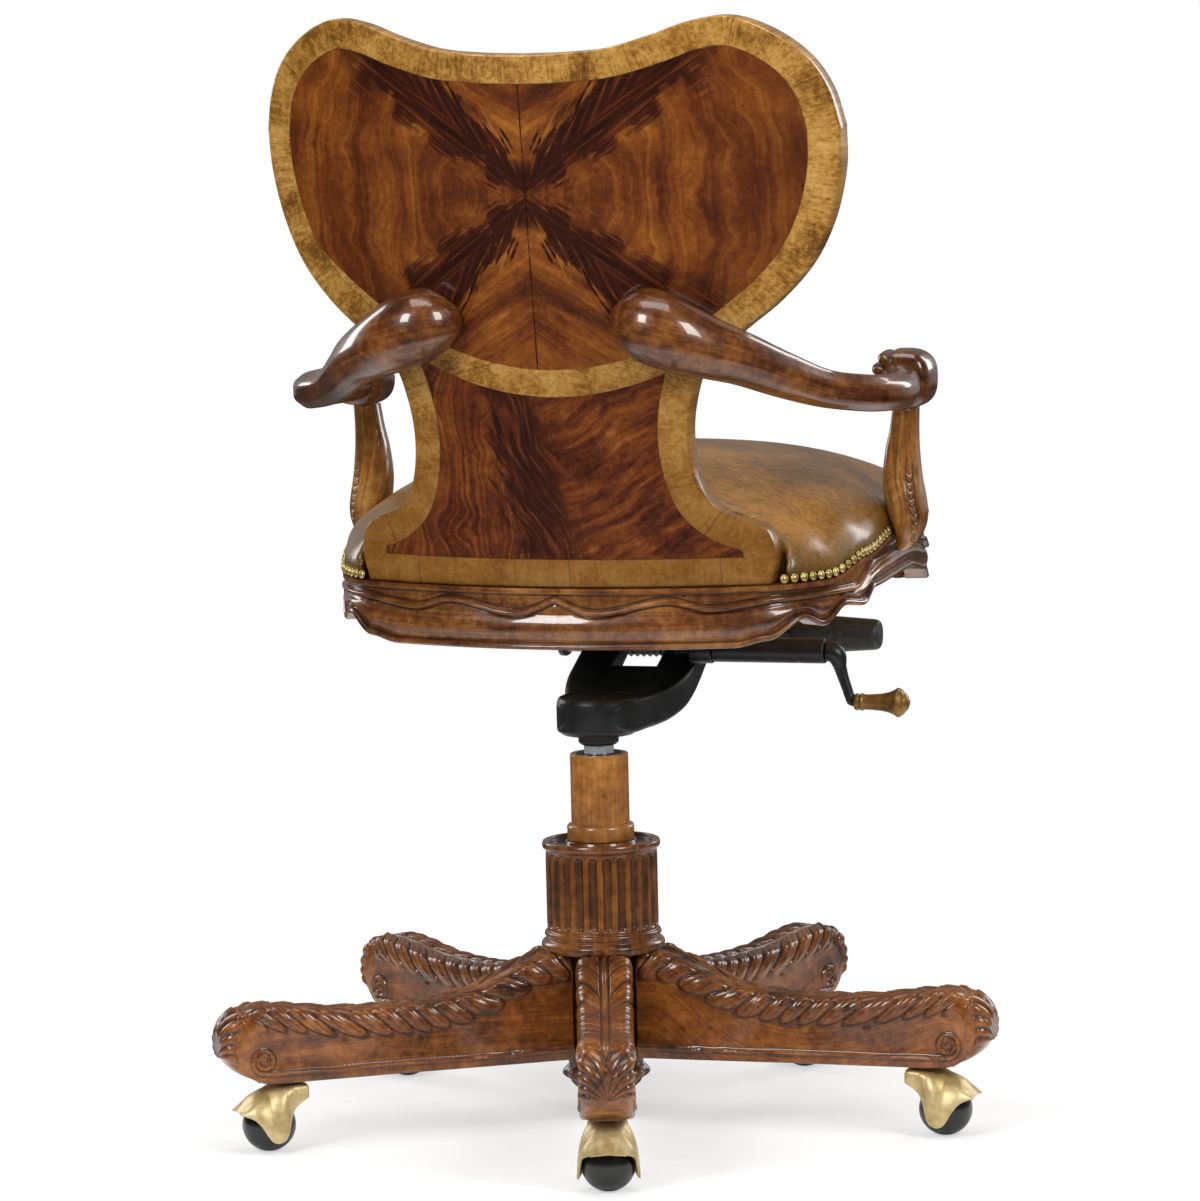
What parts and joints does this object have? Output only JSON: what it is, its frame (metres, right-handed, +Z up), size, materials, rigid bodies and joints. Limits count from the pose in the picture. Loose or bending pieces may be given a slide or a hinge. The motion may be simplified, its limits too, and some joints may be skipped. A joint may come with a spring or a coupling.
{
  "type": "office chair",
  "caption": "Carved wooden swivel desk chair with a bowed veneered back, scrolled arms, leather seat, gas lift, tilt and ball castors on a carved leg base.",
  "frame": {"origin": "middle of the chair's outline seen from above, at floor level", "axes": "+Z up; the sitter faces -Y and has the right hand on the -X side"},
  "size_m": [0.7024, 0.7368, 1.0487],
  "materials": {
    "mahogany": "satin polished",
    "veneer": "gloss lacquer over crotch veneer",
    "sleeve_wood": "satin",
    "plywood": "plain",
    "leather": "waxed, streaky antiqued",
    "brass": "satin antique",
    "black_rubber": "smooth",
    "black_steel": "satin black enamel",
    "chrome": "polished",
    "zinc": "zinc plated",
    "nylon": "moulded"
  },
  "bodies": {
    "base": {"base_hub": "mahogany", "base_pendant": "mahogany", "fluted_drum": "mahogany", "column_sleeve": "sleeve_wood", "column_collar": "mahogany", "gas_tube": "black_steel", "bearing_clip": "zinc", "tube_bush": "nylon", "leg_1": "mahogany", "leg_2": "mahogany", "leg_3": "mahogany", "leg_4": "mahogany", "leg_5": "mahogany", "castor_stem_1": "black_steel", "castor_stem_2": "black_steel", "castor_stem_3": "black_steel", "castor_stem_4": "black_steel", "castor_stem_5": "black_steel"},
    "castor_1": {"castor_hood_1": "brass", "castor_axle_1": "zinc"},
    "ball_1": {"castor_ball_1": "black_rubber"},
    "castor_2": {"castor_hood_2": "brass", "castor_axle_2": "zinc"},
    "ball_2": {"castor_ball_2": "black_rubber"},
    "castor_3": {"castor_hood_3": "brass", "castor_axle_3": "zinc"},
    "ball_3": {"castor_ball_3": "black_rubber"},
    "castor_4": {"castor_hood_4": "brass", "castor_axle_4": "zinc"},
    "ball_4": {"castor_ball_4": "black_rubber"},
    "castor_5": {"castor_hood_5": "brass", "castor_axle_5": "zinc"},
    "ball_5": {"castor_ball_5": "black_rubber"},
    "piston": {"piston_rod": "chrome"},
    "lift": {"gas_cylinder": "chrome", "tilt_yoke": "black_steel", "pivot_pin": "zinc", "tilt_spring": "zinc"},
    "release": {"release_pin": "zinc"},
    "seat": {"seat_plate": "black_steel", "seat_bearer": "plywood", "seat_deck": "plywood", "rear_rail": "mahogany", "left_rail": "mahogany", "right_rail": "mahogany", "front_rail": "mahogany", "seat_cushion": "leather", "back_panel": "veneer", "back_pad": "leather", "left_arm": "mahogany", "right_arm": "mahogany", "left_post": "mahogany", "right_post": "mahogany", "crank_tube": "black_steel"},
    "crank": {"crank_arm": "black_steel"},
    "knob": {"crank_knob": "brass"},
    "lever": {"height_lever": "black_steel", "lever_grip": "nylon"}
  },
  "joints": [
    {"name": "castor_swivel_1", "type": "hinge", "parent": "base", "child": "castor_1", "pos_m": [-0.06417, 0.29845, 0.0632], "axis": [0, 0, 1], "continuous": true},
    {"name": "ball_roll_1", "type": "hinge", "parent": "castor_1", "child": "ball_1", "pos_m": [-0.06957, 0.31614, 0.025], "axis": [-0.9563, -0.2924, 0], "continuous": true},
    {"name": "castor_swivel_2", "type": "hinge", "parent": "base", "child": "castor_2", "pos_m": [-0.28525, 0.00505, 0.0632], "axis": [0, 0, 1], "continuous": true},
    {"name": "ball_roll_2", "type": "hinge", "parent": "castor_2", "child": "ball_2", "pos_m": [-0.30375, 0.00538, 0.025], "axis": [-0.0175, -0.9998, 0], "continuous": true},
    {"name": "castor_swivel_3", "type": "hinge", "parent": "base", "child": "castor_3", "pos_m": [-0.07454, -0.29587, 0.0632], "axis": [0, 0, 1], "continuous": true},
    {"name": "ball_roll_3", "type": "hinge", "parent": "castor_3", "child": "ball_3", "pos_m": [-0.08056, -0.31337, 0.025], "axis": [0.9455, -0.3256, 0], "continuous": true},
    {"name": "castor_swivel_4", "type": "hinge", "parent": "base", "child": "castor_4", "pos_m": [0.27677, -0.18847, 0.0632], "axis": [0, 0, 1], "continuous": true},
    {"name": "ball_roll_4", "type": "hinge", "parent": "castor_4", "child": "ball_4", "pos_m": [0.29155, -0.1996, 0.025], "axis": [0.6018, 0.7986, 0], "continuous": true},
    {"name": "castor_swivel_5", "type": "hinge", "parent": "base", "child": "castor_5", "pos_m": [0.28319, 0.17884, 0.0632], "axis": [0, 0, 1], "continuous": true},
    {"name": "ball_roll_5", "type": "hinge", "parent": "castor_5", "child": "ball_5", "pos_m": [0.29834, 0.18945, 0.025], "axis": [-0.5736, 0.8192, 0], "continuous": true},
    {"name": "seat_swivel", "type": "hinge", "parent": "base", "child": "piston", "pos_m": [0.0272, -0.0004, 0.0809], "axis": [0, 0, 1], "continuous": true},
    {"name": "gas_lift", "type": "slide", "parent": "piston", "child": "lift", "axis": [0, 0, 1], "range_m": [0, 0.1]},
    {"name": "release_press", "type": "slide", "parent": "lift", "child": "release", "axis": [0, 0, -1], "range_m": [0, 0.003]},
    {"name": "seat_tilt", "type": "hinge", "parent": "lift", "child": "seat", "pos_m": [0.0272, -0.1704, 0.4306], "axis": [-1, 0, 0], "range_deg": [0, 14], "stiffness_Nm_per_rad": 150, "springref_deg": -20.05},
    {"name": "tension_crank", "type": "hinge", "parent": "seat", "child": "crank", "pos_m": [-0.1741, -0.1004, 0.4382], "axis": [1, 0, 0], "continuous": true},
    {"name": "knob_spin", "type": "hinge", "parent": "crank", "child": "knob", "pos_m": [-0.1956, -0.1004, 0.3902], "axis": [1, 0, 0], "continuous": true},
    {"name": "height_release", "type": "hinge", "parent": "seat", "child": "lever", "pos_m": [-0.0558, -0.1904, 0.4426], "axis": [0, 1, 0], "range_deg": [0, 6], "stiffness_Nm_per_rad": 1.5, "springref_deg": -6.88}
  ],
  "couplings": [
    {"joint": "release_press", "follows": "height_release", "m_per_rad": 0.0286}
  ]
}
